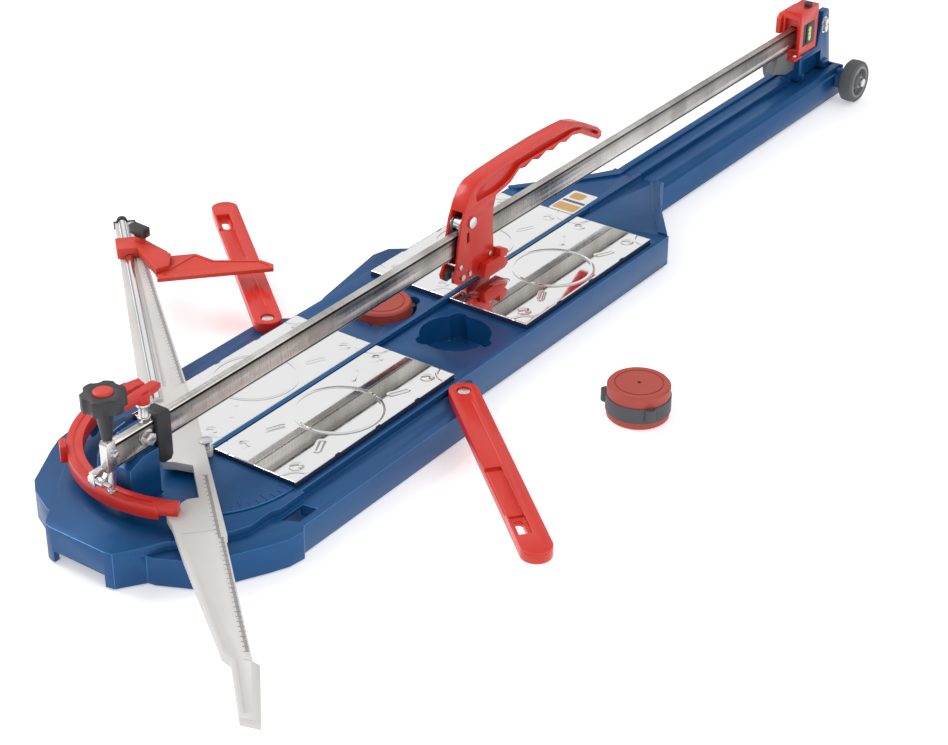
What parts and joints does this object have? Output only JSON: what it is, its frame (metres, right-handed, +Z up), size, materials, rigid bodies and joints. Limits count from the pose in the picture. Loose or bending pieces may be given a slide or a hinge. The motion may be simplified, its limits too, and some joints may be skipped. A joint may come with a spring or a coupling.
{
  "type": "tile cutter",
  "caption": "Rail tile cutter on a cast base with sprung plates, a swinging ruler with protractor arc and side stop, a lever carriage, fold-out support arms and transport wheels.",
  "frame": {"origin": "on the floor under the cut line, level with the front edge of the front plates, on the base's centre foot", "axes": "+X right, +Y along the rail towards the wheels, +Z up"},
  "size_m": [1.089, 2.2325, 0.248],
  "materials": {
    "blue_paint": "metallic blue lacquer over a casting",
    "black_rubber": "matt",
    "rail_steel": "ground bright steel",
    "zinc_steel": "bright zinc plate",
    "black_plastic": "satin moulded",
    "red_paint": "gloss red lacquer",
    "red_plastic": "satin moulded",
    "guide_grey": "satin moulded",
    "tyre_grey": "matt grey rubber",
    "hub_grey": "satin moulded",
    "chrome_skin": "mirror",
    "cushion_blue": "matt",
    "cast_alu": "fine shot-blasted light grey",
    "rod_chrome": "mirror",
    "block_steel": "machined",
    "cutter_steel": "ground",
    "pad_red": "satin moulded",
    "belt_grey": "matt"
  },
  "bodies": {
    "base": {"base_casting": "blue_paint", "base_feet": "black_rubber", "breaking_bar": "blue_paint", "protractor_plate": "blue_paint", "tail_beam": "blue_paint", "front_tower": "blue_paint", "rear_column": "blue_paint", "rail_bar": "rail_steel", "frame_bolts": "zinc_steel", "front_bumper": "black_plastic", "rail_end_block": "zinc_steel", "pivot_pins": "zinc_steel", "plate_buffers": "black_rubber", "rear_housing": "red_paint", "rear_cover": "red_paint", "rear_guide_block": "guide_grey", "axle": "zinc_steel"},
    "height_adjuster": {"height_knob": "black_plastic"},
    "wheel_left": {"tyre_left": "tyre_grey", "hub_left": "hub_grey"},
    "wheel_right": {"tyre_right": "tyre_grey", "hub_right": "hub_grey"},
    "plate_fl": {"plate_front_left": "chrome_skin", "cushion_front_left": "cushion_blue"},
    "plate_fr": {"plate_front_right": "chrome_skin", "cushion_front_right": "cushion_blue"},
    "plate_rl": {"plate_rear_left": "chrome_skin", "cushion_rear_left": "cushion_blue"},
    "plate_rr": {"plate_rear_right": "chrome_skin", "cushion_rear_right": "cushion_blue"},
    "ruler": {"ruler_body": "cast_alu", "ruler_beam": "cast_alu", "ruler_rod": "rod_chrome", "ruler_end_cap": "black_plastic", "protractor_arc": "red_paint", "arc_tab": "red_paint"},
    "side_stop": {"stop_clamp": "red_plastic", "stop_square": "red_plastic"},
    "stop_screw": {"stop_knob": "black_plastic"},
    "support_left": {"arm_left": "red_paint"},
    "support_right": {"arm_right": "red_paint"},
    "carriage": {"carriage_block": "block_steel"},
    "roller_front": {"bearing_front": "zinc_steel"},
    "roller_rear": {"bearing_rear": "zinc_steel"},
    "roller_lower": {"bearing_lower": "zinc_steel"},
    "handle": {"handle_cheeks": "red_paint", "handle_grip": "red_paint", "wheel_holder": "guide_grey", "handle_pins": "zinc_steel", "breaker_foot": "red_paint"},
    "cutter": {"score_wheel": "cutter_steel"},
    "pad_in_pocket": {"pad_stored": "pad_red", "pad_stored_belt": "belt_grey"},
    "pad_on_floor": {"pad_loose": "pad_red", "pad_loose_belt": "belt_grey"},
    "clamp": {"clamp_knob": "black_plastic", "clamp_knob_cap": "red_plastic", "clamp_stud": "zinc_steel"},
    "lock_lever": {"clamp_lever": "red_paint"},
    "wing": {"wing_nut": "zinc_steel"}
  },
  "joints": [
    {"name": "carriage_travel", "type": "slide", "parent": "base", "child": "carriage", "axis": [0, 1, 0], "range_m": [-0.59, 0.66]},
    {"name": "handle_tilt", "type": "hinge", "parent": "carriage", "child": "handle", "pos_m": [0, 0.589, 0.18], "axis": [1, 0, 0], "range_deg": [0, 30]},
    {"name": "cutter_spin", "type": "hinge", "parent": "handle", "child": "cutter", "pos_m": [0, 0.566, 0.094], "axis": [1, 0, 0], "continuous": true},
    {"name": "roller_front_spin", "type": "hinge", "parent": "carriage", "child": "roller_front", "pos_m": [0, 0.577, 0.1783], "axis": [1, 0, 0], "continuous": true},
    {"name": "roller_rear_spin", "type": "hinge", "parent": "carriage", "child": "roller_rear", "pos_m": [0, 0.629, 0.1783], "axis": [1, 0, 0], "continuous": true},
    {"name": "roller_lower_spin", "type": "hinge", "parent": "carriage", "child": "roller_lower", "pos_m": [0, 0.589, 0.1197], "axis": [1, 0, 0], "continuous": true},
    {"name": "ruler_swing", "type": "hinge", "parent": "base", "child": "ruler", "pos_m": [0, -0.01, 0.074], "axis": [0, 0, 1], "range_deg": [-3.7, 86.3]},
    {"name": "stop_travel", "type": "slide", "parent": "ruler", "child": "side_stop", "axis": [0.7513, -0.66, 0], "range_m": [-0.07, 0.38]},
    {"name": "stop_screw_turn", "type": "hinge", "parent": "side_stop", "child": "stop_screw", "pos_m": [-0.46803, 0.35725, 0.11], "axis": [0, 0, 1], "range_deg": [-180, 180]},
    {"name": "support_right_swing", "type": "hinge", "parent": "base", "child": "support_right", "pos_m": [0.185, 0.334, 0.05], "axis": [0, 0, 1], "range_deg": [-47.4, 66]},
    {"name": "support_left_swing", "type": "hinge", "parent": "base", "child": "support_left", "pos_m": [-0.185, 0.334, 0.05], "axis": [0, 0, 1], "range_deg": [-38, 127.1]},
    {"name": "clamp_knob_turn", "type": "hinge", "parent": "base", "child": "clamp", "pos_m": [0, -0.19, 0.2], "axis": [0, 0, 1], "range_deg": [-90, 270]},
    {"name": "lock_lever_turn", "type": "hinge", "parent": "base", "child": "lock_lever", "pos_m": [0, -0.122, 0.2], "axis": [0, 0, 1], "range_deg": [-60, 60]},
    {"name": "wing_nut_turn", "type": "hinge", "parent": "base", "child": "wing", "pos_m": [0.003, -0.21, 0.12], "axis": [1, 0, 0], "continuous": true},
    {"name": "height_knob_turn", "type": "hinge", "parent": "base", "child": "height_adjuster", "pos_m": [0.008, 1.694, 0.2], "axis": [0, 0, 1], "range_deg": [-180, 180]},
    {"name": "wheel_left_spin", "type": "hinge", "parent": "base", "child": "wheel_left", "pos_m": [-0.0835, 1.766, 0.043], "axis": [1, 0, 0], "continuous": true},
    {"name": "wheel_right_spin", "type": "hinge", "parent": "base", "child": "wheel_right", "pos_m": [0.0835, 1.766, 0.043], "axis": [1, 0, 0], "continuous": true},
    {"name": "plate_front_left_press", "type": "slide", "parent": "base", "child": "plate_fl", "axis": [0, 0, 1], "range_m": [-0.003, 0], "stiffness_N_per_m": 30000, "springref_m": 0.001, "deforming": ["plate_buffers"]},
    {"name": "plate_front_right_press", "type": "slide", "parent": "base", "child": "plate_fr", "axis": [0, 0, 1], "range_m": [-0.003, 0], "stiffness_N_per_m": 30000, "springref_m": 0.001, "deforming": ["plate_buffers"]},
    {"name": "plate_rear_left_press", "type": "slide", "parent": "base", "child": "plate_rl", "axis": [0, 0, 1], "range_m": [-0.003, 0], "stiffness_N_per_m": 30000, "springref_m": 0.001, "deforming": ["plate_buffers"]},
    {"name": "plate_rear_right_press", "type": "slide", "parent": "base", "child": "plate_rr", "axis": [0, 0, 1], "range_m": [-0.003, 0], "stiffness_N_per_m": 30000, "springref_m": 0.001, "deforming": ["plate_buffers"]},
    {"name": "pocket_pad_lift", "type": "slide", "parent": "base", "child": "pad_in_pocket", "axis": [0, 0, 1], "range_m": [0, 0.062]},
    {"name": "floor_pad_lift", "type": "slide", "parent": "base", "child": "pad_on_floor", "axis": [0, 0, 1], "range_m": [0, 0.1]}
  ],
  "couplings": [
    {"joint": "roller_front_spin", "follows": "carriage_travel", "rad_per_m": -100},
    {"joint": "roller_rear_spin", "follows": "carriage_travel", "rad_per_m": -100},
    {"joint": "roller_lower_spin", "follows": "carriage_travel", "rad_per_m": 125}
  ]
}
